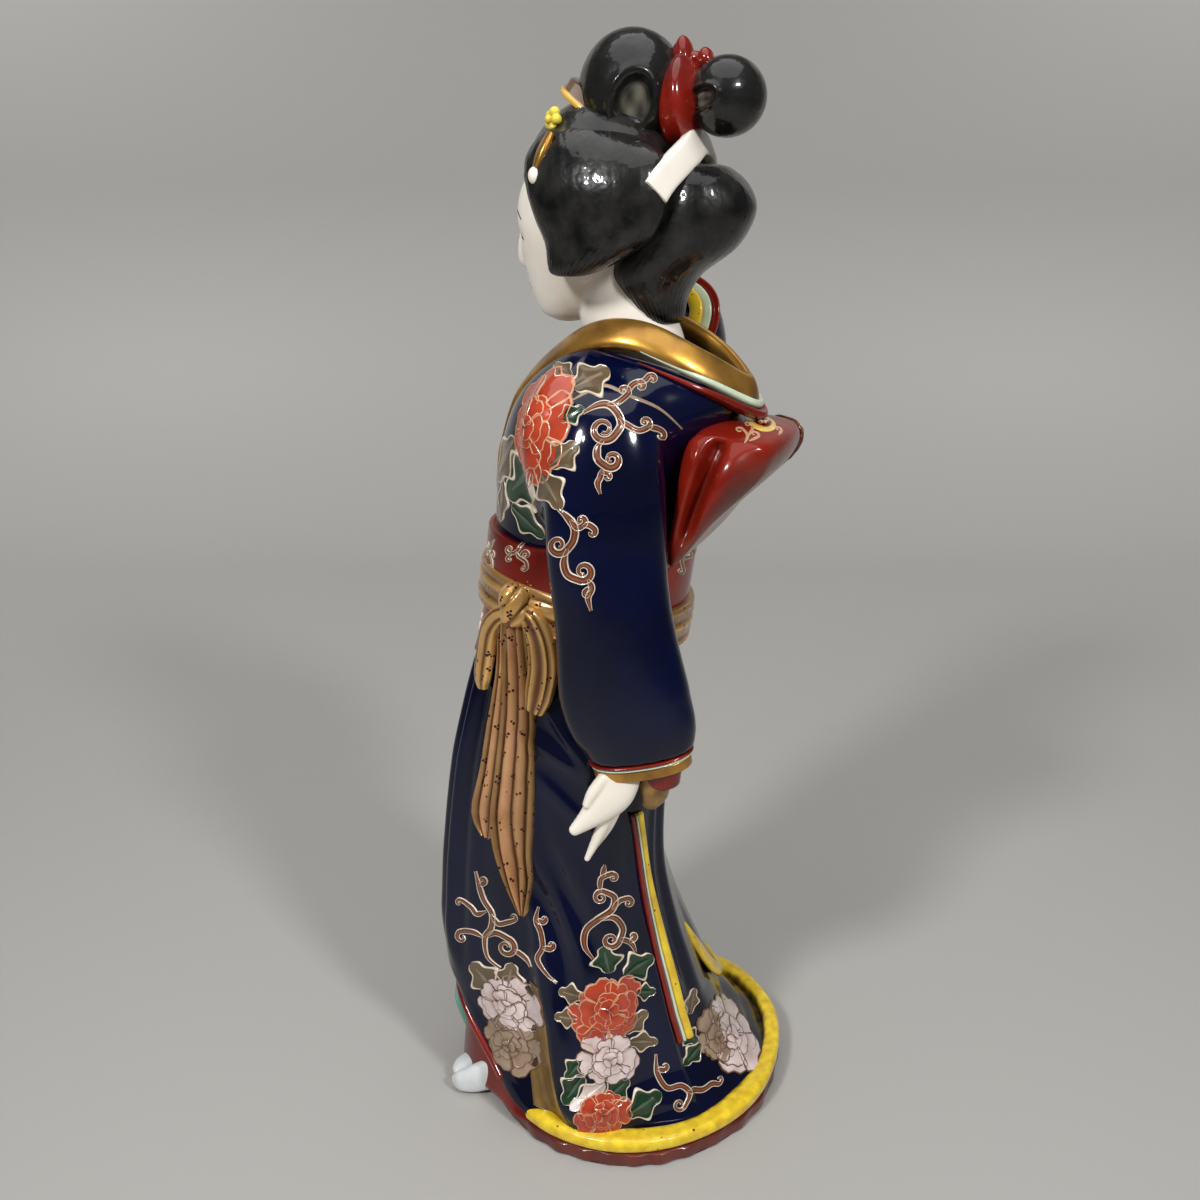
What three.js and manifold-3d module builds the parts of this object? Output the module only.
// A porcelain lady in a trailing kimono, looking over her shoulder, with one sleeve raised to her cheek.
// She is built as the castings that a pottery makes in separate moulds and lutes together with slip:
// every casting is its own solid, and plugs, sockets and seats meet across the luting gap.
// Millimetres, +Z up. She faces -Y, her left hand is on +X, and the origin lies on the underside of the base.

import * as THREE from 'three';
import { mergeVertices } from 'three/addons/utils/BufferGeometryUtils.js';
import Module from 'manifold-3d';

const wasm = await Module();
wasm.setup();

// Driving dimensions

const GAP = 0.3; // luting gap between two castings

const BASE_THICKNESS = 6;
const BASE_BEVEL = 1.5;
const VENT_RADIUS = 7; // lets the air out of the hollow body in the kiln
const VENT_X = -20;
const VENT_Y = 26;

const HEM_ROLL_WIDTH = 11; // padded hem that lies round the train
const HEM_ROLL_HEIGHT = 9;
const HEM_ROLL_START = -40; // degrees round the hem, 0 is her left and 90 her back
const HEM_ROLL_END = 232;

const SKIRT_HEIGHT = 216;
const HEM_LIFT = 46; // how far the front hem is raised over the feet
const FOLD_DEPTH = 2.2;
const UNDERSKIRT_INSET = 4; // behind the raised hem
const UNDERSKIRT_FROM = -150; // degrees round the skirt
const UNDERSKIRT_TO = -30;

const TRIM_THICKNESS = 2; // lining strips along the overlap of the skirt
const OVERLAP_RED_WIDTH = 3.2;
const OVERLAP_WHITE_WIDTH = 1.7;
const OVERLAP_YELLOW_WIDTH = 4.6;
const PIPING_RADIUS = 1.9; // red piping along the raised front hem
const LINING_WIDTH = 15; // teal lining that shows in the front opening
const LIP_WIDTH = 10; // yellow lip turned out at the back of the skirt

const FOOT_LENGTH = 36;
const FOOT_WIDTH = 21;
const FOOT_HEIGHT = 15;
const FOOT_DROP = 5; // the toes hang over the edge of the base
const LEFT_FOOT_X = 21;
const RIGHT_FOOT_X = -20;
const TOE_REACH = 70; // from the axis to the tip of the left foot
const FOOT_STAGGER = 9; // the right foot stands this much further back
const TOE_SPLIT = 1.6; // groove between the toes of a split-toed sock

const TURN = -20; // degrees that the upper body is turned to her right
const LEAN = -8; // degrees that it leans back
const UPPER_BODY_Y = -10;
const WAIST_HALF_WIDTH = 36;
const WAIST_FRONT = 41;
const WAIST_BACK = 39;

const SASH_TOP = 13; // above the waist
const SASH_BOTTOM = -9;
const SASH_THICKNESS = 3.2;
const OBI_HEIGHT = 20;
const OBI_THICKNESS = 3;
const KNOT_SIZE = 12;
const SASH_TAIL_THICKNESS = 4;
const SASH_LOOP_LENGTH = 34;
const SASH_LOOP_WIDTH = 11;
const SASH_LOOP_THICKNESS = 7;
const SASH_PLEATS = 2; // pleats across a hanging tail
const SASH_PLEAT_RISE = 0.25; // as a share of its thickness

const BOW_WIDTH = 76; // obi bow on her back
const BOW_HEIGHT = 54;
const BOW_DEPTH = 33;
const BOW_HOLLOW = 9; // depth of the open pleat at each end
const BOW_STRAP_LENGTH = 46;
const BOW_STRAP_RADIUS = 4;

const CUFF_RED = 1.6; // depth of each ring of a cuff
const CUFF_WHITE = 1.8;
const CUFF_INNER = 3.4;
const LEFT_CUFF_STEP = 0.7; // each ring is set in from the one before
const RIGHT_CUFF_STEP = 3;
const RIGHT_CUFF_FLARE = 2; // its red ring stands out from the sleeve
const SLEEVE_WALL = 3.4;
const SLEEVE_MOUTH = 7; // depth of the open mouth behind its edge
const INNER_SLEEVE_DROP = 13; // red inner sleeve below the left cuff
const INNER_SLEEVE_WIDTH = 13;

const COLLAR_WIDTH = 9;
const COLLAR_THICKNESS = 5;
const UNDER_COLLAR_WIDTH = 3.4;
const UNDER_COLLAR_DROP = 4.4;

const NECK_BASE_Y = 3; // foot of the neck behind the axis of the upper body, and its height over the waist
const NECK_BASE_Z = 95;
const NECK_RADIUS = 16;
const NECK_DEPTH = 38; // front to back
const NECK_PLUG = 16; // length of the neck that is sunk into the body
const HEAD_NOD = 9; // degrees
const CHIN_HEIGHT = 13; // above the foot of the neck
const FACE_HEIGHT = 64;
const FACE_WIDTH = 49;
const FACE_DEPTH = 52;
const FACE_FORWARD = 16; // centre of the face in front of the neck
const NOSE = [3, 3, 6]; // half sizes
const EAR = [3, 5, 8];
const EAR_ROOM = 1.5; // room for an ear in the hair, over its own height and depth
const HAIR_WIDTH = 64;
const HAIR_DEPTH = 60;
const HAIR_HEIGHT = 62;
const HAIR_CENTRE_Y = -8;
const HAIR_CENTRE_Z = 61;
const HAIRLINE_HEIGHT = 36; // above the foot of the neck
const HAIRLINE_OPENING = [23, 24, 27]; // half sizes of the space that the hair leaves for the face
const FRONT_BUN_RADIUS = 18;
const REAR_BUN_RADIUS = 13.5;
const BUN_HALF_WIDTH = 15;
const FRONT_BUN_Y = 1;
const FRONT_BUN_HEIGHT = 40;
const BUN_HOLLOW = 7; // open eye at each side of a rolled bun
const FRONT_BUN_EYE = [5, -5]; // from the middle of the bun, to the back and up
const REAR_BUN_EYE = [-3, -1];
const RIBBON_THICKNESS = 17;
const RIBBON_HEIGHT = 31;
const RIBBON_KNOT_RADIUS = 4;
const TIE_WIDTH = 9;
const TIE_THICKNESS = 5;
const COMB_WIDTH = 27;
const COMB_HEIGHT = 12;
const COMB_THICKNESS = 3;
const HAIRPIN_RADIUS = 2;
const FLOWER_RADIUS = 4;

// Sections of the lofted castings. Every reach is from the axis of the casting to its surface.

// Share of the skirt's height, lift of the hem at front and back, axis x,
// reach to her left, right, front and back
const SKIRT_SECTIONS = [
  [0.0, 1.0, 0, -10, 68, 58, 68, 66],
  [0.04, 0.9, 1, -9, 66, 56, 70, 61],
  [0.1, 0.75, -2, -7, 57, 50, 73, 52],
  [0.2, 0.5, -3, -4, 50, 47, 74, 41],
  [0.34, 0.24, 0, -2, 45, 45, 73, 29],
  [0.5, 0.05, 0, -1, 43, 44, 71, 21],
  [0.69, 0, 0, 0, 42, 43, 66, 22],
  [0.85, 0, 0, 0, 40, 41, 58, 26],
  [1.0, 0, -3, 0, 36, 36, 51, 29],
];
const SKIRT_LEVELS = [0, 0.03, 0.08, 0.15, 0.24, 0.34, 0.5, 0.68, 0.85, 1];
// Angle round the skirt, depth as a share of FOLD_DEPTH and width in degrees
const SKIRT_FOLDS = [
  [-72, 1.0, 9],
  [-50, -0.9, 9],
  [-22, -1.2, 8],
  [-8, 1.0, 9],
  [14, -0.7, 8],
  [62, 1.0, 12],
  [95, -0.9, 12],
  [135, 1.0, 14],
  [170, -1.0, 14],
  [205, 1.0, 14],
  [240, -1.0, 12],
];
const HEM_OUTLINE = { x: -14, y: 5, left: 84, right: 64, front: 64, back: 71 };
// Share of the skirt's height and angle round it, along the overlap of the front panel
const OVERLAP_PATH = [
  [0.09, 33],
  [0.2, 33],
  [0.34, 32],
  [0.5, 27],
  [0.63, 16],
];
// Share of the skirt's height, then the angles of the two edges of a hanging sash tail
const LONG_TAIL = [
  [0.42, -33, -29],
  [0.52, -43, -29],
  [0.66, -50, -32],
  [0.8, -52, -37],
  [0.96, -54, -42],
];
const SHORT_TAIL = [
  [0.57, -59, -52],
  [0.66, -61, -52],
  [0.8, -63, -54],
  [0.96, -62, -56],
];

// Height over the waist at side, front and back, half width, reach to front and back
const TORSO_SECTIONS = [
  [-6, -6, -6, WAIST_HALF_WIDTH - 3, WAIST_FRONT - 3, WAIST_BACK - 2],
  [14, 14, 14, WAIST_HALF_WIDTH - 1, WAIST_FRONT - 1, WAIST_BACK - 1],
  [32, 32, 32, WAIST_HALF_WIDTH + 1, WAIST_FRONT + 1, WAIST_BACK],
  [52, 50, 54, 42, 42, 41],
  [74, 67, 74, 45, 39, 45],
  [90, 77, 83, 38, 35, 50],
  [101, 83, 89, 27, 30, 52],
];
const TORSO_TOP_Y = 8;

// Outline of the bow's loop, as shares of its depth and height
const BOW_LOOP = [
  [0.06, 0.02],
  [0.5, 0.4],
  [0.96, 0.78],
  [0.94, 0.98],
  [0.5, 1.0],
  [0.06, 0.94],
  [0.0, 0.5],
];
// Place along half the bow's width and size of its loop there
const BOW_PROFILE = [
  [-1, 0.86],
  [-0.94, 0.97],
  [-0.5, 1],
  [0, 1],
  [0.5, 1],
  [0.94, 0.97],
  [1, 0.86],
];

// Sash knot beside the axis and over the waist, and how far each loop swings to her left and to the back
const KNOT_PLACE = [29, -38, 3];
const FRONT_LOOP_SWING = [-8, -12];
const REAR_LOOP_SWING = [9, 10];

// Axis x, y, height over the waist, half width front to back, half thickness
const LEFT_SLEEVE = [
  [34, -2, 86, 11, 7],
  [44, -3, 76, 18, 10],
  [50, -4, 54, 22, 12],
  [51, -3.5, 27, 21.5, 12],
  [52, -1, 4, 21.5, 12],
  [53, 3, -24, 24, 12],
  [53, 8, -40, 22, 11.5],
  [52, 10.5, -49.5, 19.5, 11],
];
const RIGHT_SLEEVE = [
  [-54, -3, 12, 16, 7],
  [-60, -2, 40, 22, 11],
  [-64, 0, 70, 24, 13],
  [-64, 2, 92, 23, 15],
  [-57, 3, 103, 20, 16],
  [-49, 3, 106, 18, 16.5],
];
const LEFT_PALM = [
  [53, 7, -38, 6.5, 5],
  [54, 6, -54, 7.5, 5],
  [55, 2, -65, 9, 5],
  [55, -2, -74, 7.5, 4.2],
];
const RIGHT_PALM = [
  [-60, 3, 103, 6, 5],
  [-47, 1, 109, 7, 4.6],
  [-41, -4, 119, 8, 4.6],
  [-38, -8, 128, 7, 4],
];
// Root of each finger from the end of the palm, its bend and its tip from that root, and its radius
const LEFT_FINGERS = [
  [0, -3, 4, -1, -7, -5, -1, -13, -9, 3],
  [0, 0, 3, -1, -5, -11, -2, -8, -22, 2.4],
  [0, 3, 3, -1, -4, -11, -2, -6, -20, 2.3],
  [0, 5, 4, 0, -2, -9, -1, -4, -16, 2.2],
];
const RIGHT_FINGERS = [
  [2, -4, -3, 4, -5, 6, 7, -6, 12, 2.5],
  [0, -2, -3, 2, -4, 9, 5, -5, 17, 2.4],
  [-2, 0, -3, 1, -3, 9, 4, -3, 17, 2.3],
  [-4, 2, -3, 0, -1, 8, 2, -1, 14, 2.1],
];
// Axis x, y, height over the waist, half width, half thickness: from her left front, round the nape
const COLLAR_PATH = [
  [1, -41, 56],
  [6, -35, 76],
  [14, -21, 92],
  [21, -4, 103.5],
  [22, 14, 106],
  [16, 36, 99],
  [0, 51, 91],
  [-16, 36, 99],
  [-22, 14, 106],
  [-21, -4, 103.5],
  [-14, -21, 92],
  [-6, -35, 76],
];
// Share of the face's height, half width, shift of the axis to the front and half depth as shares
const FACE_SECTIONS = [
  [0.0, 0.16, -0.36, 0.14],
  [0.05, 0.42, -0.33, 0.42],
  [0.16, 0.7, -0.2, 0.7],
  [0.34, 0.92, -0.06, 0.91],
  [0.55, 1.0, 0, 1.0],
  [0.76, 0.92, 0, 0.92],
  [0.93, 0.56, 0, 0.56],
  [1.0, 0.16, 0, 0.16],
];
// Height over the foot of the neck, axis x, axis y, half width, half depth
const LEFT_WING = [
  [31, 29, -13, 5, 4],
  [35, 27, -8, 9, 11],
  [42, 26, -3, 11.5, 19],
  [50, 26, -2, 12, 23.5],
  [60, 26, -2.5, 12, 26],
  [70, 23, -4, 11.5, 26],
  [78, 19, -5, 10, 22],
  [84, 15, -5, 7, 14],
];
const NAPE_HAIR = [
  [13, 0, 21, 6, 3],
  [20, 0, 18, 11, 6.5],
  [27, 0, 14, 16, 12],
  [33, 0, 12, 20, 18.5],
  [39, 0, 17, 22, 22],
  [46, 0, 22, 23, 23],
  [54, 0, 25, 22.5, 22],
  [62, 0, 26, 20, 17],
  [68, 0, 26, 14, 9],
];
// Axis x, y, height over the foot of the neck
const PAPER_TIE = [
  [32, 18, 55],
  [26, 22, 63],
  [14, 26, 73],
  [0, 26, 78],
  [-14, 26, 73],
  [-26, 22, 63],
  [-32, 18, 55],
];
const HAIRPIN_PATH = [
  [28, -18.5, 78],
  [30, -21, 72],
  [31.5, -23, 66],
];
const FLOWER_PLACE = [20, -20.5, 83];

const GLAZE = {
  navy: { color: 0x0b1430, roughness: 0.12, metalness: 0 },
  bisque_white: { color: 0xe9e2d6, roughness: 0.35, metalness: 0 },
  black: { color: 0x131313, roughness: 0.2, metalness: 0 },
  iron_red: { color: 0x8c1d10, roughness: 0.18, metalness: 0 },
  brown_red: { color: 0x5c1f18, roughness: 0.25, metalness: 0 },
  yellow: { color: 0xe3bd10, roughness: 0.2, metalness: 0 },
  gold: { color: 0xa8792a, roughness: 0.3, metalness: 0.8 },
  pale_green: { color: 0xc3d8c8, roughness: 0.25, metalness: 0 },
  teal: { color: 0x3f9c84, roughness: 0.25, metalness: 0 },
};

// Solids

const radians = THREE.MathUtils.degToRad;

// Rows of numbers read between their rows: a smooth curve through every column, at share t of the way.
function between(rows, t) {
  const place = t * (rows.length - 1);
  const i = Math.min(Math.floor(place), rows.length - 2);
  const row = (k) => rows[THREE.MathUtils.clamp(k, 0, rows.length - 1)];
  return rows[0].map((_, column) =>
    catmullRom(place - i, row(i - 1)[column], row(i)[column], row(i + 1)[column], row(i + 2)[column]),
  );
}

function catmullRom(t, before, from, to, after) {
  const leave = (to - before) / 2;
  const arrive = (after - from) / 2;
  const cubic = 2 * (from - to) + leave + arrive;
  const square = 3 * (to - from) - 2 * leave - arrive;
  return cubic * t ** 3 + square * t ** 2 + leave * t + from;
}

function middleOf(ring) {
  return ring.reduce((sum, p) => sum.add(p), new THREE.Vector3()).divideScalar(ring.length);
}

// A closed solid skinned over rings of points, with each end closed by a fan to the ring's own middle.
function skin(rings, firstTip = middleOf(rings[0]), lastTip = middleOf(rings.at(-1))) {
  const count = rings[0].length;
  const points = [...rings.flat(), firstTip, lastTip];
  const faces = [];
  const start = rings.length * count;
  const lastRing = (rings.length - 1) * count;
  for (let i = 0; i < count; i++) {
    const next = (i + 1) % count;
    for (let r = 0; r < rings.length - 1; r++) {
      const low = r * count;
      const high = low + count;
      faces.push(low + i, low + next, high + next, low + i, high + next, high + i);
    }
    faces.push(next, i, start, lastRing + i, lastRing + next, start + 1);
  }
  const geometry = new THREE.BufferGeometry().setFromPoints(points).setIndex(faces);
  return solidOf(geometry);
}

function solidOf(geometry) {
  const bare = geometry.clone();
  bare.deleteAttribute('normal');
  bare.deleteAttribute('uv');
  const merged = mergeVertices(bare, 1e-4);
  const mesh = new wasm.Mesh({
    numProp: 3,
    vertProperties: merged.getAttribute('position').array,
    triVerts: new Uint32Array(merged.index.array),
  });
  return new wasm.Manifold(mesh);
}

function geometryOf(solid) {
  const mesh = solid.getMesh();
  const geometry = new THREE.BufferGeometry();
  geometry.setAttribute('position', new THREE.BufferAttribute(new Float32Array(mesh.vertProperties), 3));
  geometry.setIndex(new THREE.BufferAttribute(new Uint32Array(mesh.triVerts), 1));
  geometry.computeVertexNormals();
  return geometry;
}

// The largest body that is left once every carrier, grown by the luting gap, is taken out of a solid.
function seat(solid, ...carriers) {
  const rest = carriers.reduce((left, carrier) => left.subtract(carrier), solid);
  return rest.decompose().reduce((best, body) => (body.volume() > best.volume() ? body : best));
}

// A rounded outline: the superellipse whose reach differs in the four directions.
function outlinePoint(angle, { left, right, front, back }, power = 2) {
  const c = Math.cos(angle);
  const s = Math.sin(angle);
  const x = Math.sign(c) * Math.abs(c) ** (2 / power) * (c > 0 ? left : right);
  const y = Math.sign(s) * Math.abs(s) ** (2 / power) * (s > 0 ? back : front);
  return [x, y];
}

// The reaches of an outline, set out by a distance on every side.
function reachOf({ left, right, front, back }, out) {
  return { left: left + out, right: right + out, front: front + out, back: back + out };
}

// The same for an outline that is alike on its opposite sides.
function evenReach(across, deep, out) {
  return reachOf({ left: across, right: across, front: deep, back: deep }, out);
}

function ringOf(count, pointAt) {
  return Array.from({ length: count }, (_, i) => pointAt((2 * Math.PI * i) / count));
}

function steps(count, makeAt) {
  return Array.from({ length: count + 1 }, (_, i) => makeAt(i / count));
}

function centreAt(stations, t) {
  return new THREE.Vector3(...between(stations, THREE.MathUtils.clamp(t, 0, 1)));
}

// The direction in which a path of stations runs at a share of its length.
function courseAt(stations, t) {
  return centreAt(stations, t + 0.01).sub(centreAt(stations, t - 0.01)).normalize();
}

// A tube along stations of centre, half width and half thickness; its thin side looks along faceAt(centre).
function sweep(stations, { faceAt, sides = 8, count = 6, grow = 0, power = 2 }) {
  const rings = steps(count, (t) => {
    const along = courseAt(stations, t);
    const centre = centreAt(stations, t);
    const face = faceAt(centre);
    const thin = face.clone().addScaledVector(along, -face.dot(along)).normalize();
    const wide = thin.clone().cross(along);
    const [, , , halfWidth, halfThickness] = between(stations, t);
    const reach = evenReach(halfWidth, halfThickness, grow);
    if (t === 0) centre.addScaledVector(along, -grow);
    if (t === 1) centre.addScaledVector(along, grow);
    return ringOf(sides, (angle) => {
      const [w, h] = outlinePoint(angle, reach, power);
      return centre.clone().addScaledVector(wide, w).addScaledVector(thin, h);
    });
  });
  return skin(rings);
}

const towards = (x, y, z) => () => new THREE.Vector3(x, y, z);

// A ball with three half sizes, grown by a gap.
function ellipsoid([x, y, z], [a, b, c], grow = 0, across = 12, up = 7) {
  const ball = new THREE.SphereGeometry(1, across, up);
  ball.rotateX(Math.PI / 2);
  ball.scale(a + grow, b + grow, c + grow);
  ball.translate(x, y, z);
  return solidOf(ball);
}

function block([x, y, z], [width, depth, height]) {
  const box = new THREE.BoxGeometry(width, depth, height);
  box.translate(x, y, z);
  return solidOf(box);
}

// Frames of the pose: the lower body stands on the base, the arms hang from the waist, the upper body turns.

const sole = BASE_THICKNESS + GAP;
const waistHeight = sole + SKIRT_HEIGHT;
const figure = new THREE.Group();
const arms = new THREE.Group();
const upperBody = new THREE.Group();
const head = new THREE.Group();
arms.position.z = waistHeight;
upperBody.position.set(0, UPPER_BODY_Y, waistHeight);
upperBody.rotation.set(radians(LEAN), 0, radians(TURN), 'ZXY');
head.position.set(0, NECK_BASE_Y, NECK_BASE_Z);
head.rotation.x = radians(HEAD_NOD);
figure.add(arms, upperBody);
upperBody.add(head);
figure.updateMatrixWorld(true);

// The same solid written in another frame of the pose.
function moved(solid, from, to) {
  const matrix = to.matrixWorld.clone().invert().multiply(from.matrixWorld);
  return solid.transform(matrix.elements);
}

function cast(name, solid, glaze, frame) {
  const mesh = new THREE.Mesh(geometryOf(solid), new THREE.MeshStandardMaterial(GLAZE[glaze]));
  mesh.name = name;
  frame.add(mesh);
}

// Base and hem

function hemPoint(angle, inset) {
  const [px, py] = outlinePoint(angle, reachOf(HEM_OUTLINE, -inset));
  return [HEM_OUTLINE.x + px, HEM_OUTLINE.y + py];
}

function base(grow = 0) {
  const levels = [
    [-grow, BASE_BEVEL],
    [BASE_BEVEL, 0],
    [BASE_THICKNESS + grow, 0],
  ];
  return skin(
    levels.map(([z, inset]) => ringOf(28, (angle) => new THREE.Vector3(...hemPoint(angle, inset - grow), z))),
  );
}

function hemRoll(grow = 0) {
  const half = HEM_ROLL_HEIGHT / 2;
  const stations = steps(30, (t) => {
    const angle = radians(THREE.MathUtils.lerp(HEM_ROLL_START, HEM_ROLL_END, t));
    return [...hemPoint(angle, HEM_ROLL_WIDTH / 2), sole + half, HEM_ROLL_WIDTH / 2, half];
  });
  return sweep(stations, { faceAt: towards(0, 0, 1), sides: 6, count: 22, grow });
}

function vent() {
  const hole = new THREE.CylinderGeometry(VENT_RADIUS, VENT_RADIUS, 3 * BASE_THICKNESS, 16);
  hole.rotateX(Math.PI / 2);
  hole.translate(VENT_X, VENT_Y, 0);
  return solidOf(hole);
}

// Skirt, underskirt and feet

function foldAt(angle, share) {
  const degrees = THREE.MathUtils.radToDeg(angle);
  const depth = SKIRT_FOLDS.reduce((sum, [at, deep, width]) => {
    const off = THREE.MathUtils.euclideanModulo(degrees - at + 180, 360) - 180;
    return sum + deep * Math.exp(-((off / width) ** 2));
  }, 0);
  return depth * FOLD_DEPTH * (1 - share) ** 0.6;
}

// Where a share of the height lies among rows that start with such a share, from 0 to 1.
function placeAmong(rows, share) {
  const above = rows.findIndex(([up]) => up > share);
  if (above < 0) return 1;
  if (above === 0) return 0;
  const [low, high] = [rows[above - 1][0], rows[above][0]];
  return (above - 1 + (share - low) / (high - low)) / (rows.length - 1);
}

// A point of the skirt at a share of its height and an angle, set out from its surface by a distance.
function skirtPoint(share, angle, out = 0) {
  const row = between(SKIRT_SECTIONS, placeAmong(SKIRT_SECTIONS, share));
  const [, frontLift, backLift, x, left, right, front, back] = row;
  const reach = reachOf({ left, right, front, back }, out + foldAt(angle, share));
  const [px, py] = outlinePoint(angle, reach);
  const s = Math.sin(angle);
  const lift = s < 0 ? frontLift * HEM_LIFT * s ** 4 : backLift * s ** 2;
  return new THREE.Vector3(x + px, py, sole + share * SKIRT_HEIGHT + lift);
}

function skirt(grow = 0) {
  const rings = SKIRT_LEVELS.map((share) =>
    ringOf(36, (angle) => {
      const point = skirtPoint(share, angle, grow);
      if (share === 0) point.z -= grow;
      if (share === 1) point.z += grow;
      return point;
    }),
  );
  return skin(rings, new THREE.Vector3(SKIRT_SECTIONS[0][3], 0, sole - grow));
}

// The red underskirt is the wedge that fills the opening under the raised front hem.
function underskirt() {
  const [, , , x, , , front] = SKIRT_SECTIONS[0];
  const angleAt = (t) => radians(THREE.MathUtils.lerp(UNDERSKIRT_FROM, UNDERSKIRT_TO, t));
  const edge = steps(11, (t) => skirtPoint(0, angleAt(t), -UNDERSKIRT_INSET));
  const floor = [...edge.map((p) => p.clone().setZ(sole)), new THREE.Vector3(x, 0, sole)];
  const roof = [...edge, new THREE.Vector3(x, 0, sole + UNDERSKIRT_INSET)];
  return skin([floor, roof], middleOf(floor), new THREE.Vector3(x, -front / 2, sole + HEM_LIFT));
}

function foot(x, reach, grow = 0) {
  const half = FOOT_HEIGHT / 2;
  const width = FOOT_WIDTH / 2;
  const stations = [
    [x, FOOT_LENGTH - reach, sole + half, width * 0.8, half],
    [x, FOOT_LENGTH * 0.5 - reach, sole + half - FOOT_DROP * 0.5, width, half],
    [x, FOOT_LENGTH * 0.2 - reach, sole + half * 0.9 - FOOT_DROP, width, half * 0.85],
    [x, FOOT_LENGTH * 0.05 - reach, sole + half * 0.8 - FOOT_DROP, width * 0.8, half * 0.65],
    [x, -reach, sole + half * 0.7 - FOOT_DROP, width * 0.45, half * 0.4],
  ];
  const body = sweep(stations, { faceAt: towards(0, 0, 1), sides: 10, count: 5, grow, power: 2.4 });
  const slot = [TOE_SPLIT, FOOT_LENGTH / 2, FOOT_HEIGHT * 3];
  return grow > 0 ? body : body.subtract(block([x + FOOT_WIDTH * 0.12, -reach, sole], slot));
}

const leftFoot = (grow) => foot(LEFT_FOOT_X, TOE_REACH, grow);
const rightFoot = (grow) => foot(RIGHT_FOOT_X, TOE_REACH - FOOT_STAGGER, grow);

function piping() {
  const stations = steps(14, (t) => {
    const angle = radians(THREE.MathUtils.lerp(HEM_ROLL_START, -180 - HEM_ROLL_START, t));
    return [...skirtPoint(0.005, angle).toArray(), PIPING_RADIUS, PIPING_RADIUS];
  });
  return sweep(stations, { faceAt: towards(0, 0, 1), sides: 5, count: 12 });
}

function tealLining(grow = 0) {
  const top = sole + HEM_LIFT;
  const y = -SKIRT_SECTIONS[0][6];
  const stations = [
    [9, y + 6, top - 2, LINING_WIDTH / 2, 4],
    [5, y, top * 0.7, LINING_WIDTH / 2, 4.5],
    [5, y + 5, top * 0.35, LINING_WIDTH / 3, 4],
  ];
  return sweep(stations, { faceAt: towards(0, -1, 0), sides: 8, count: 5, grow });
}

// A strip of cloth on the skirt between two angles at each level, thick enough to be cut to its surface.
function drape(rows, thickness, across = 1, riseAt = () => 1) {
  const rings = steps(7, (t) => {
    const [share, from, to] = between(rows, t);
    const edge = (u, out) => skirtPoint(share, radians(THREE.MathUtils.lerp(from, to, u)), out);
    const outer = steps(across, (u) => edge(u, thickness * riseAt(u)));
    const inner = steps(across, (u) => edge(1 - u, -thickness));
    return [...outer, ...inner];
  });
  return skin(rings);
}

// One of the lining strips: its near edge lies this far behind the overlap, measured along the cloth.
function overlapStrip(start, width) {
  const rows = OVERLAP_PATH.map(([share, angle]) => {
    const [, , , , left] = between(SKIRT_SECTIONS, placeAmong(SKIRT_SECTIONS, share));
    const degreesPerMillimetre = THREE.MathUtils.radToDeg(1 / left);
    return [share, angle + start * degreesPerMillimetre, angle + (start + width) * degreesPerMillimetre];
  });
  return drape(rows, TRIM_THICKNESS);
}

function backLip() {
  const place = (share, degrees, out) => skirtPoint(share, radians(degrees), out).toArray();
  const stations = [
    [...place(0.28, 84, 0), LIP_WIDTH * 0.2, 2],
    [...place(0.22, 90, 1), LIP_WIDTH * 0.5, 2.4],
    [...place(0.16, 97, 1), LIP_WIDTH * 0.25, 2],
  ];
  return sweep(stations, { faceAt: towards(0, 1, 0.4), sides: 6, count: 5 });
}

const skirtCut = skirt(GAP);
const baseCut = base(GAP);
const liningCut = tealLining(GAP);
const feetCut = leftFoot(GAP).add(rightFoot(GAP));
const whiteStart = OVERLAP_RED_WIDTH + GAP;
const yellowStart = whiteStart + OVERLAP_WHITE_WIDTH + GAP;

cast('base_slab', base().subtract(vent()), 'brown_red', figure);
cast('skirt', skirt(), 'navy', figure);
cast('hem_roll', seat(hemRoll(), skirtCut, baseCut), 'yellow', figure);
cast('underskirt', seat(underskirt(), skirtCut, feetCut, liningCut, hemRoll(GAP)), 'iron_red', figure);
cast('left_foot', seat(leftFoot(), skirtCut, liningCut, baseCut), 'bisque_white', figure);
cast('right_foot', seat(rightFoot(), skirtCut, liningCut, baseCut), 'bisque_white', figure);
cast('hem_piping', seat(piping(), skirtCut, baseCut, hemRoll(GAP), liningCut, feetCut), 'iron_red', figure);
cast('teal_lining', seat(tealLining(), skirtCut), 'teal', figure);
cast('overlap_red', seat(overlapStrip(0, OVERLAP_RED_WIDTH), skirtCut), 'iron_red', figure);
cast('overlap_white', seat(overlapStrip(whiteStart, OVERLAP_WHITE_WIDTH), skirtCut), 'pale_green', figure);
cast('overlap_yellow', seat(overlapStrip(yellowStart, OVERLAP_YELLOW_WIDTH), skirtCut), 'yellow', figure);
cast('back_lip', seat(backLip(), skirtCut), 'yellow', figure);

// Upper body of the kimono

function torsoPoint(t, angle, out) {
  const [side, frontUp, backUp, half, front, back] = between(TORSO_SECTIONS, t);
  const reach = reachOf({ left: half, right: half, front, back }, out);
  const s = Math.sin(angle);
  const end = s < 0 ? frontUp : backUp;
  return new THREE.Vector3(...outlinePoint(angle, reach), side + (end - side) * s ** 2);
}

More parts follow.
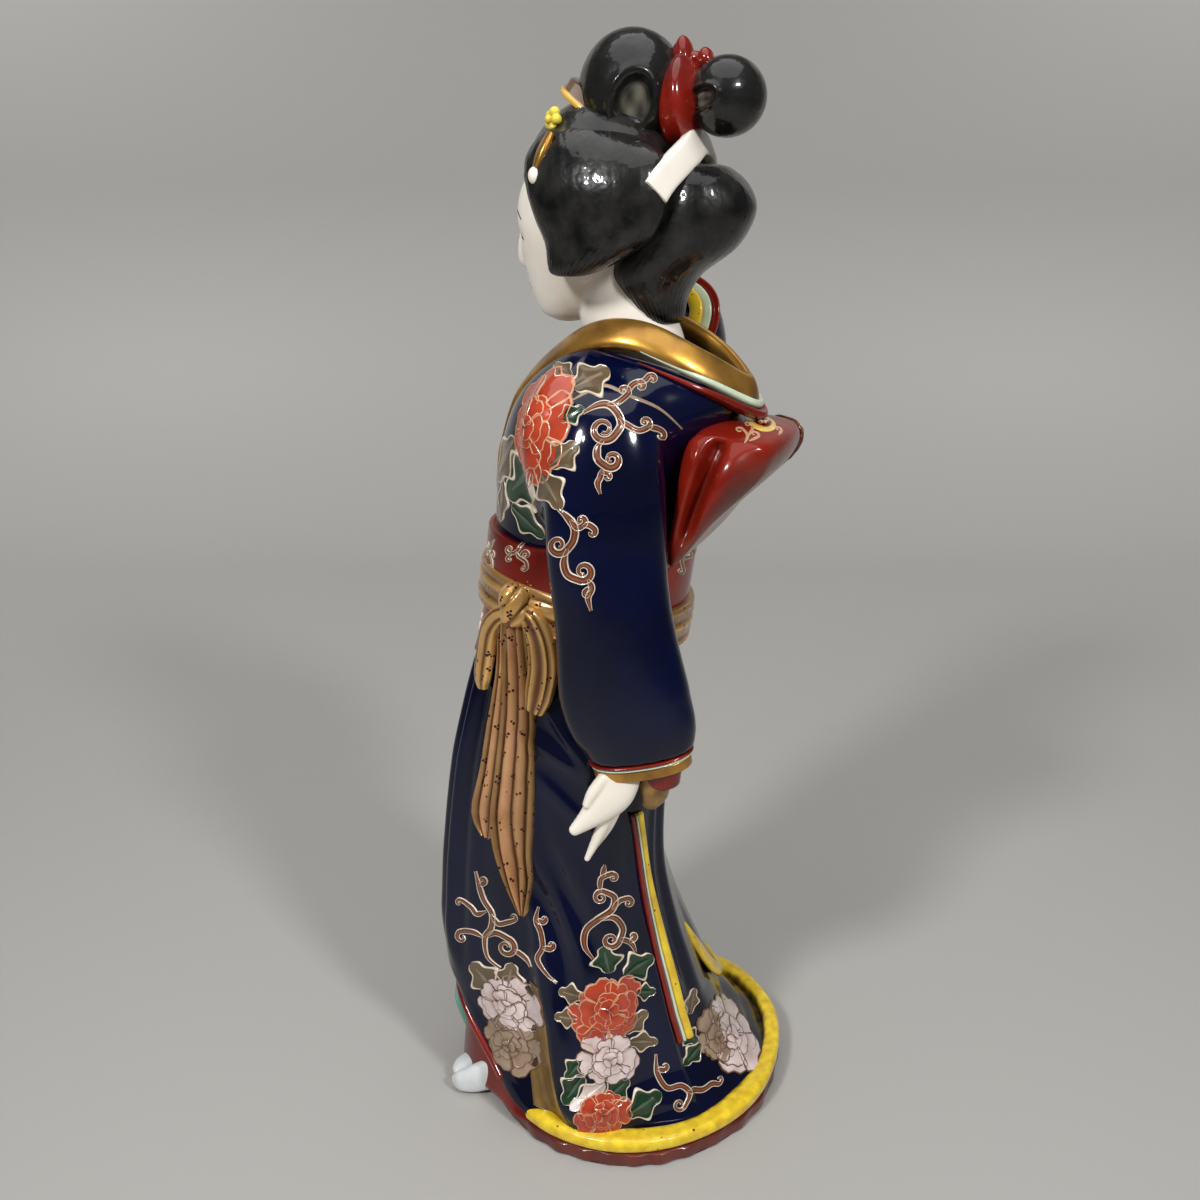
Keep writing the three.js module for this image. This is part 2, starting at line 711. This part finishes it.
function torso(grow = 0) {
  const rings = steps(8, (t) =>
    ringOf(20, (angle) => {
      const point = torsoPoint(t, angle, grow);
      if (t === 0) point.z -= grow;
      if (t === 1) point.z += grow;
      return point;
    }),
  );
  const [side] = TORSO_SECTIONS.at(-1);
  const foot = new THREE.Vector3(0, 0, TORSO_SECTIONS[0][0] - grow);
  return skin(rings, foot, new THREE.Vector3(0, TORSO_TOP_Y, side));
}

// A belt round the waist between two heights, with rounded edges.
function belt(low, high, thickness, grow = 0) {
  const out = thickness + grow;
  const round = thickness / 3;
  const levels = [
    [low - grow, out - round],
    [low - grow + round, out],
    [high + grow - round, out],
    [high + grow, out - round],
  ];
  const waist = { left: WAIST_HALF_WIDTH, right: WAIST_HALF_WIDTH, front: WAIST_FRONT, back: WAIST_BACK };
  const pointAt = (angle, set, z) => new THREE.Vector3(...outlinePoint(angle, reachOf(waist, set)), z);
  return skin(levels.map(([z, set]) => ringOf(20, (angle) => pointAt(angle, set, z))));
}

const obiBottom = SASH_TOP + GAP;
const obiTop = obiBottom + OBI_HEIGHT;
const bowBottom = obiTop - OBI_HEIGHT / 3;
const bowFront = WAIST_BACK - 2;

function bowRing(x, scale) {
  const droop = 1 - 0.16 * ((2 * x) / BOW_WIDTH) ** 2;
  const middle = new THREE.Vector3(x, bowFront + BOW_DEPTH * 0.4, bowBottom + BOW_HEIGHT * 0.66);
  const depth = BOW_DEPTH * droop;
  const height = (BOW_HEIGHT * (1 + droop)) / 2;
  const pointAt = (deep, up) => new THREE.Vector3(x, bowFront + depth * deep, bowBottom + height * up);
  const outline = BOW_LOOP.map(([deep, up]) => pointAt(deep, up));
  const curve = new THREE.CatmullRomCurve3(outline, true, 'catmullrom', 0.35);
  return curve.getPoints(14).slice(0, 14).map((p) => middle.clone().lerp(p, scale));
}

function bow(grow = 0) {
  const half = BOW_WIDTH / 2;
  const scaled = (share) => share + grow / (BOW_DEPTH * 0.4);
  return skin(BOW_PROFILE.map(([x, scale]) => bowRing(x * (half + grow), scaled(scale))));
}

function bowHollow(side) {
  const half = BOW_WIDTH / 2;
  const places = [half - BOW_HOLLOW, half - BOW_HOLLOW / 2, half + BOW_HOLLOW];
  const scales = [0.3, 0.55, 0.72];
  const rings = places.map((x, i) => bowRing(side * x, scales[i]));
  return skin(side > 0 ? rings : rings.reverse());
}

function bowStrap() {
  const half = BOW_STRAP_LENGTH / 2;
  const y = WAIST_BACK + OBI_THICKNESS + BOW_STRAP_RADIUS * 0.4;
  const z = bowBottom - BOW_STRAP_RADIUS * 0.4;
  const stations = [
    [-half, y - 6, z - 2, BOW_STRAP_RADIUS * 0.7, BOW_STRAP_RADIUS * 0.6],
    [0, y + 1, z, BOW_STRAP_RADIUS, BOW_STRAP_RADIUS],
    [half, y - 6, z - 2, BOW_STRAP_RADIUS * 0.7, BOW_STRAP_RADIUS * 0.6],
  ];
  return sweep(stations, { faceAt: towards(0, 1, 0), sides: 8, count: 6 });
}

// Collars run from the chest on her left round the nape to the chest on her right.
function collar(width, thickness, drop, grow = 0) {
  const stations = COLLAR_PATH.map(([x, y, z]) => {
    const across = x * (1 + drop / NECK_RADIUS / 1.6);
    const along = y > 0 ? y + (drop * y) / WAIST_BACK / 2 : y;
    return [across, along, z - drop, width / 2, thickness / 2];
  });
  const faceAt = (p) => new THREE.Vector3(p.x, p.y - TORSO_TOP_Y, NECK_RADIUS);
  return sweep(stations, { faceAt, sides: 5, count: 14, grow });
}

const goldCollar = (grow) => collar(COLLAR_WIDTH, COLLAR_THICKNESS, 0, grow);
const whiteCollar = (grow) => collar(UNDER_COLLAR_WIDTH, COLLAR_THICKNESS, UNDER_COLLAR_DROP, grow);
const redCollar = (grow) => collar(UNDER_COLLAR_WIDTH, COLLAR_THICKNESS, 1.8 * UNDER_COLLAR_DROP, grow);

// Head: the neck is a plug that is sunk into the body

function headCasting(grow = 0) {
  const stations = [
    [0, 4, -NECK_PLUG, NECK_RADIUS, NECK_DEPTH / 2],
    [0, 3, 0, NECK_RADIUS, NECK_DEPTH / 2],
    [0, 0, CHIN_HEIGHT, NECK_RADIUS * 0.94, NECK_DEPTH * 0.47],
    [0, -6, CHIN_HEIGHT + FACE_HEIGHT * 0.4, NECK_RADIUS, NECK_DEPTH * 0.48],
  ];
  const neck = sweep(stations, { faceAt: towards(0, -1, 0), sides: 12, count: 3, grow });
  const rings = steps(10, (t) => {
    const [share, wide, shift, deep] = between(FACE_SECTIONS, t);
    const centreY = (FACE_DEPTH / 2) * shift - FACE_FORWARD;
    const reach = evenReach((FACE_WIDTH / 2) * wide, (FACE_DEPTH / 2) * deep, grow);
    return ringOf(16, (angle) => {
      const [x, y] = outlinePoint(angle, reach);
      return new THREE.Vector3(x, centreY + y, CHIN_HEIGHT + FACE_HEIGHT * share + grow * (2 * t - 1));
    });
  });
  const noseY = -FACE_FORWARD - FACE_DEPTH / 2 + 0.5;
  const noseZ = CHIN_HEIGHT + FACE_HEIGHT * 0.34;
  const nose = ellipsoid([0, noseY, noseZ], NOSE, grow, 6, 4);
  const ears = [-1, 1].map((side) => ellipsoid(earPlace(side, 0), EAR, grow, 6, 4));
  return wasm.Manifold.union([neck, skin(rings), nose, ...ears]);
}

// The middle of an ear, or a place this far inwards of it.
function earPlace(side, inwards) {
  const x = FACE_WIDTH / 2 - 1 - inwards;
  return [side * x, EAR[1] + 2 - FACE_FORWARD, CHIN_HEIGHT + FACE_HEIGHT * 0.36];
}

// The room that a wing of hair leaves for the ear, which reaches well into the head.
function earRoom(side) {
  const half = [3 * EAR[0], EAR_ROOM * EAR[1], EAR_ROOM * EAR[2]];
  return ellipsoid(earPlace(side, 2 * EAR[0]), half, GAP, 8, 5);
}

// The rounded body of hair over the skull, before the face is opened in it.
function hairCap(grow = 0) {
  const half = [HAIR_WIDTH / 2, HAIR_DEPTH / 2, HAIR_HEIGHT / 2];
  return ellipsoid([0, HAIR_CENTRE_Y, HAIR_CENTRE_Z], half, grow, 16, 9);
}

function hairFront(grow = 0) {
  const faceY = -FACE_FORWARD - FACE_DEPTH / 2;
  const opening = ellipsoid([0, faceY, CHIN_HEIGHT + FACE_HEIGHT * 0.4], HAIRLINE_OPENING, -grow, 10, 6);
  const below = block([0, 0, HAIRLINE_HEIGHT - grow - 100], [200, 200, 200]);
  return hairCap(grow).subtract(opening).subtract(below);
}

// A solid of level, rounded sections, each with its height, its axis and its half width and half depth.
function stack(rows, { sides, count, grow = 0, side = 1 }) {
  const rings = steps(count, (t) => {
    const [z, x, y, halfWidth, halfDepth] = between(rows, t);
    const reach = evenReach(halfWidth, halfDepth, grow);
    return ringOf(sides, (angle) => {
      const [px, py] = outlinePoint(angle, reach);
      return new THREE.Vector3(side * x + px, y + py, z + grow * (2 * t - 1));
    });
  });
  return skin(rings);
}

const wing = (side, grow) => stack(LEFT_WING, { sides: 12, count: 7, grow, side });
const napeHair = (grow) => stack(NAPE_HAIR, { sides: 12, count: 7, grow });

const hairTop = HAIR_CENTRE_Z + HAIR_HEIGHT / 2;
const frontBunZ = hairTop + FRONT_BUN_RADIUS * 0.08;
const rearBunY = FRONT_BUN_Y + FRONT_BUN_RADIUS + RIBBON_THICKNESS * 0.6 + REAR_BUN_RADIUS * 0.55;
const rearBunZ = frontBunZ - FRONT_BUN_RADIUS * 0.22;
const ribbonY = (FRONT_BUN_Y + FRONT_BUN_RADIUS + rearBunY - REAR_BUN_RADIUS) / 2;
const ribbonZ = frontBunZ - FRONT_BUN_RADIUS * 0.3;

// A rolled bun with an open eye at each side, this far from its middle.
function bun(y, z, radius, height, [eyeY, eyeZ], grow = 0) {
  const ball = ellipsoid([0, y, z], [BUN_HALF_WIDTH, radius, height / 2], grow, 12, 8);
  if (grow > 0) return ball;
  const eye = [BUN_HOLLOW * 0.7, radius * 0.42, radius * 0.42];
  const eyes = [-1, 1].map((side) => ellipsoid([side * BUN_HALF_WIDTH, y + eyeY, z + eyeZ], eye, 0, 7, 4));
  return ball.subtract(eyes[0]).subtract(eyes[1]);
}

function frontBun(grow) {
  return bun(FRONT_BUN_Y, frontBunZ, FRONT_BUN_RADIUS, FRONT_BUN_HEIGHT, FRONT_BUN_EYE, grow);
}

function rearBun(grow) {
  return bun(rearBunY, rearBunZ, REAR_BUN_RADIUS, 2 * REAR_BUN_RADIUS, REAR_BUN_EYE, grow);
}

function ribbon(grow = 0) {
  const half = [BUN_HALF_WIDTH * 0.8, RIBBON_THICKNESS / 2, RIBBON_HEIGHT / 2];
  return ellipsoid([0, ribbonY, ribbonZ], half, grow, 10, 6);
}

function ribbonKnot() {
  const z = ribbonZ + RIBBON_HEIGHT / 2;
  const knobs = [-0.2, 1.5].map((share) => {
    const place = [0, ribbonY + share * RIBBON_KNOT_RADIUS, z];
    return ellipsoid(place, [RIBBON_KNOT_RADIUS, RIBBON_KNOT_RADIUS, RIBBON_KNOT_RADIUS], 0, 7, 4);
  });
  return knobs[0].add(knobs[1]);
}

function paperTie(grow = 0) {
  const stations = PAPER_TIE.map((place) => [...place, TIE_WIDTH / 2, TIE_THICKNESS / 2]);
  const faceAt = (p) => new THREE.Vector3(p.x, p.y - HAIR_CENTRE_Y, p.z - HAIR_CENTRE_Z);
  return sweep(stations, { faceAt, sides: 5, count: 8, grow });
}

function comb() {
  const shape = new THREE.Shape().absellipse(0, 0, COMB_WIDTH / 2, COMB_HEIGHT, 0, Math.PI);
  const options = { depth: COMB_THICKNESS, bevelEnabled: false, curveSegments: 8 };
  const plate = new THREE.ExtrudeGeometry(shape, options);
  plate.rotateX(Math.PI / 2 + 0.35);
  plate.translate(0, HAIR_CENTRE_Y - HAIR_DEPTH * 0.17, hairTop - COMB_HEIGHT * 0.55);
  return solidOf(plate);
}

function hairpin() {
  const radii = [1, 1.3, 0.8].map((swell) => HAIRPIN_RADIUS * swell);
  const stations = HAIRPIN_PATH.map((place, i) => [...place, radii[i], radii[i]]);
  return sweep(stations, { faceAt: towards(1, -1, 0), sides: 6, count: 4 });
}

function hairFlower() {
  return ellipsoid(FLOWER_PLACE, [FLOWER_RADIUS, FLOWER_RADIUS, FLOWER_RADIUS], 0, 8, 5);
}

const headCut = headCasting(GAP);
const hairCut = hairFront(GAP);
const wingsCut = wing(1, GAP).add(wing(-1, GAP));
const napeCut = napeHair(GAP);
const hairAllCut = wasm.Manifold.union([headCut, hairCut, wingsCut, napeCut]);
const frontBunCut = frontBun(GAP);
const rearBunCut = rearBun(GAP);

cast('head', headCasting(), 'bisque_white', head);
cast('hair_front', seat(hairFront(), headCut), 'black', head);
cast('hair_wing_left', seat(wing(1), headCut, hairCap(GAP), earRoom(1)), 'black', head);
cast('hair_wing_right', seat(wing(-1), headCut, hairCap(GAP), earRoom(-1)), 'black', head);
cast('nape_hair', seat(napeHair(), headCut, hairCut, wingsCut), 'black', head);
cast('front_bun', seat(frontBun(), hairAllCut), 'black', head);
cast('rear_bun', seat(rearBun(), hairAllCut, frontBunCut), 'black', head);
cast('hair_ribbon', seat(ribbon(), hairAllCut, frontBunCut, rearBunCut), 'iron_red', head);
cast('ribbon_knot', seat(ribbonKnot(), ribbon(GAP), frontBunCut, rearBunCut), 'iron_red', head);
cast('paper_tie', seat(paperTie(), hairAllCut, frontBunCut, rearBunCut, ribbon(GAP)), 'bisque_white', head);
cast('comb', seat(comb(), hairAllCut, frontBunCut), 'gold', head);
cast('hairpin_gold', seat(hairpin(), hairAllCut), 'gold', head);
cast('hairpin_flower', seat(hairFlower(), hairAllCut, comb()), 'yellow', head);

// Upper body, with its sash, obi and collars

const neckCut = moved(headCut, head, upperBody);
const skirtInUpper = moved(skirtCut, figure, upperBody);
const torsoCut = torso(GAP);
const obi = (grow) => belt(obiBottom, obiTop, OBI_THICKNESS, grow);
const sash = (grow) => belt(SASH_BOTTOM, SASH_TOP, SASH_THICKNESS, grow);
const hollowBow = bow().subtract(bowHollow(1)).subtract(bowHollow(-1));
const collarCuts = [torsoCut, neckCut, obi(GAP)];
const goldCut = goldCollar(GAP);

cast('torso', seat(torso(), skirtInUpper, neckCut), 'navy', upperBody);
cast('obi_band', seat(obi(), torsoCut), 'iron_red', upperBody);
cast('sash_band', seat(sash(), torsoCut, skirtInUpper), 'gold', upperBody);
cast('obi_bow', seat(hollowBow, torsoCut, obi(GAP)), 'iron_red', upperBody);
cast('bow_strap', seat(bowStrap(), torsoCut, obi(GAP), sash(GAP), bow(GAP)), 'gold', upperBody);
cast('collar_gold', seat(goldCollar(), ...collarCuts), 'gold', upperBody);
cast('collar_white', seat(whiteCollar(), ...collarCuts, goldCut), 'pale_green', upperBody);
cast('collar_red', seat(redCollar(), ...collarCuts, goldCut, whiteCollar(GAP)), 'iron_red', upperBody);

// Sash knot, loops and tails

function knot(grow = 0) {
  return ellipsoid(KNOT_PLACE, [KNOT_SIZE / 2, KNOT_SIZE / 2, KNOT_SIZE * 0.6], grow, 10, 6);
}

// A flat loop that hangs from the knot.
function sashLoop([swingX, swingY], grow = 0) {
  const [x, y, z] = KNOT_PLACE;
  const [wide, thick] = [SASH_LOOP_WIDTH / 2, SASH_LOOP_THICKNESS / 2];
  const stations = [
    [x, y, z, wide * 0.5, thick * 0.8],
    [x + swingX * 0.7, y + swingY * 0.7, z - SASH_LOOP_LENGTH * 0.25, wide, thick],
    [x + swingX, y + swingY, z - SASH_LOOP_LENGTH * 0.65, wide * 1.1, thick],
    [x + swingX, y + swingY * 0.95, z - SASH_LOOP_LENGTH, wide * 0.6, thick * 0.6],
  ];
  return sweep(stations, { faceAt: towards(0.7, -0.7, 0), sides: 8, count: 6, grow });
}

const frontLoop = (grow) => sashLoop(FRONT_LOOP_SWING, grow);
const rearLoop = (grow) => sashLoop(REAR_LOOP_SWING, grow);
const upperInFigure = moved(wasm.Manifold.union([torsoCut, obi(GAP), sash(GAP)]), upperBody, figure);
const upperInArms = moved(upperInFigure, figure, arms);
const skirtInArms = moved(skirtCut, figure, arms);
const loopCuts = [upperInArms, skirtInArms, knot(GAP)];
const loopsInFigure = moved(frontLoop(GAP).add(rearLoop(GAP)).add(knot(GAP)), arms, figure);
const pleats = (u) => 1 - SASH_PLEAT_RISE * (1 - Math.cos(2 * Math.PI * SASH_PLEATS * u));
const tailCuts = [skirtCut, upperInFigure, loopsInFigure];
const longTail = seat(drape(LONG_TAIL, SASH_TAIL_THICKNESS, 2 * SASH_PLEATS, pleats), ...tailCuts);
const shortTail = seat(drape(SHORT_TAIL, SASH_TAIL_THICKNESS, 2 * SASH_PLEATS, pleats), ...tailCuts);

cast('sash_knot', seat(knot(), upperInArms), 'gold', arms);
cast('sash_loop_front', seat(frontLoop(), ...loopCuts), 'gold', arms);
cast('sash_loop_rear', seat(rearLoop(), ...loopCuts), 'gold', arms);
cast('sash_tail_long', longTail, 'gold', figure);
cast('sash_tail_short', shortTail, 'gold', figure);

// Arms: sleeves, cuffs and hands

function sleeve(stations, face, grow = 0) {
  return sweep(stations, { faceAt: face, sides: 12, count: 9, grow, power: 2.3 });
}

// One ring of a cuff, this far beyond the mouth of the sleeve and set in from its edge.
function cuff(stations, face, start, depth, inset) {
  const end = stations.at(-1);
  const along = courseAt(stations, 1);
  const ring = (distance) => {
    const centre = new THREE.Vector3(...end).addScaledVector(along, distance);
    return [...centre.toArray(), end[3] - inset, end[4] - inset];
  };
  return sweep([ring(start), ring(start + depth)], { faceAt: face, sides: 12, count: 1, power: 2.3 });
}

// The open mouth of a sleeve, from inside it to beyond its cuff.
function mouth(stations, face, wall) {
  return cuff(stations, face, -SLEEVE_MOUTH, SLEEVE_MOUTH + 2 * cuffEnd, wall);
}

function hand(palm, fingers, face, grow = 0) {
  const [x, y, z] = palm.at(-1);
  const bodies = fingers.map(([rx, ry, rz, bx, by, bz, tx, ty, tz, radius]) => {
    const root = [x + rx, y + ry, z + rz];
    const stations = [
      [...root, radius, radius],
      [root[0] + bx, root[1] + by, root[2] + bz, radius, radius],
      [root[0] + tx, root[1] + ty, root[2] + tz, radius * 0.55, radius * 0.55],
    ];
    return sweep(stations, { faceAt: face, sides: 5, count: 3, grow });
  });
  return wasm.Manifold.union([sweep(palm, { faceAt: face, sides: 8, count: 4, grow }), ...bodies]);
}

const leftFace = towards(1, 0, 0);
const rightFace = towards(-1, 0, 0.4);
const leftHand = (grow) => hand(LEFT_PALM, LEFT_FINGERS, leftFace, grow);
const rightHand = (grow) => hand(RIGHT_PALM, RIGHT_FINGERS, rightFace, grow);
// Start and depth of each ring beyond the sleeve, from the outer one to the inner one
const cuffRings = [
  [GAP, CUFF_RED],
  [2 * GAP + CUFF_RED, CUFF_WHITE],
  [3 * GAP + CUFF_RED + CUFF_WHITE, CUFF_INNER],
];
const leftCuffs = [
  ['left_cuff_red', 'iron_red'],
  ['left_cuff_white', 'pale_green'],
  ['left_cuff_gold', 'gold'],
];
const rightCuffs = [
  ['right_cuff_red', 'iron_red'],
  ['right_cuff_white', 'pale_green'],
  ['right_cuff_yellow', 'yellow'],
];
const cuffEnd = 3 * GAP + CUFF_RED + CUFF_WHITE + CUFF_INNER;

function innerSleeve(grow = 0) {
  const [x, y, z] = LEFT_SLEEVE.at(-1);
  const half = INNER_SLEEVE_WIDTH / 2;
  const stations = [
    [x, y + 7, z - 2, half, half],
    [x, y + 8, z - cuffEnd - INNER_SLEEVE_DROP * 0.3, half, half],
    [x - 1, y + 7, z - cuffEnd - INNER_SLEEVE_DROP * 0.6, half * 0.7, half * 0.8],
  ];
  return sweep(stations, { faceAt: leftFace, sides: 8, count: 4, grow });
}

function innerSleeveHem() {
  const [x, y, z] = LEFT_SLEEVE.at(-1);
  const half = INNER_SLEEVE_WIDTH / 2;
  const stations = [
    [x - 1, y + 5, z - cuffEnd - INNER_SLEEVE_DROP * 0.4, half * 0.8, half * 0.6],
    [x - 1, y + 3, z - cuffEnd - INNER_SLEEVE_DROP * 0.75, half * 0.75, half * 0.6],
    [x - 1, y + 1, z - cuffEnd - INNER_SLEEVE_DROP, half * 0.4, half * 0.4],
  ];
  return sweep(stations, { faceAt: leftFace, sides: 8, count: 4 });
}

const bowInArms = moved(bow(GAP), upperBody, arms);
const sashInArms = moved(loopsInFigure, figure, arms);
const collarsInUpper = wasm.Manifold.union([goldCollar(GAP), whiteCollar(GAP), redCollar(GAP)]);
const collarsInArms = moved(collarsInUpper, upperBody, arms);
const leftHandCut = leftHand(GAP);
const leftBody = [upperInArms, skirtInArms, bowInArms, collarsInArms, sashInArms];
const rightHandCut = rightHand(GAP);
const rightBody = [torsoCut, obi(GAP), sash(GAP), bow(GAP), collarsInUpper, skirtInUpper, neckCut];
const headInUpper = moved(hairAllCut, head, upperBody);
const leftWall = SLEEVE_WALL + 2 * LEFT_CUFF_STEP;
const rightWall = SLEEVE_WALL + 2 * RIGHT_CUFF_STEP;
const leftOpening = [mouth(LEFT_SLEEVE, leftFace, leftWall), leftHandCut, innerSleeve(GAP)];
const rightOpening = [mouth(RIGHT_SLEEVE, rightFace, rightWall), rightHandCut];

cast('left_sleeve', seat(sleeve(LEFT_SLEEVE, leftFace), ...leftBody, ...leftOpening), 'navy', arms);
cast('right_sleeve', seat(sleeve(RIGHT_SLEEVE, rightFace), ...rightBody, ...rightOpening), 'navy', upperBody);
cuffRings.forEach(([start, depth], i) => {
  const left = cuff(LEFT_SLEEVE, leftFace, start, depth, i * LEFT_CUFF_STEP);
  const right = cuff(RIGHT_SLEEVE, rightFace, start, depth, i * RIGHT_CUFF_STEP - RIGHT_CUFF_FLARE);
  const [leftName, leftGlaze] = leftCuffs[i];
  const [rightName, rightGlaze] = rightCuffs[i];
  cast(leftName, seat(left, ...leftBody, ...leftOpening), leftGlaze, arms);
  cast(rightName, seat(right, ...rightBody, ...rightOpening, headInUpper), rightGlaze, upperBody);
});
cast('left_hand', seat(leftHand(), skirtInArms), 'bisque_white', arms);
cast('right_hand', seat(rightHand(), headInUpper), 'bisque_white', upperBody);
cast('inner_sleeve', seat(innerSleeve(), leftHandCut, skirtInArms), 'iron_red', arms);
cast('inner_sleeve_hem', seat(innerSleeveHem(), leftHandCut, skirtInArms, innerSleeve(GAP)), 'gold', arms);

export default figure;
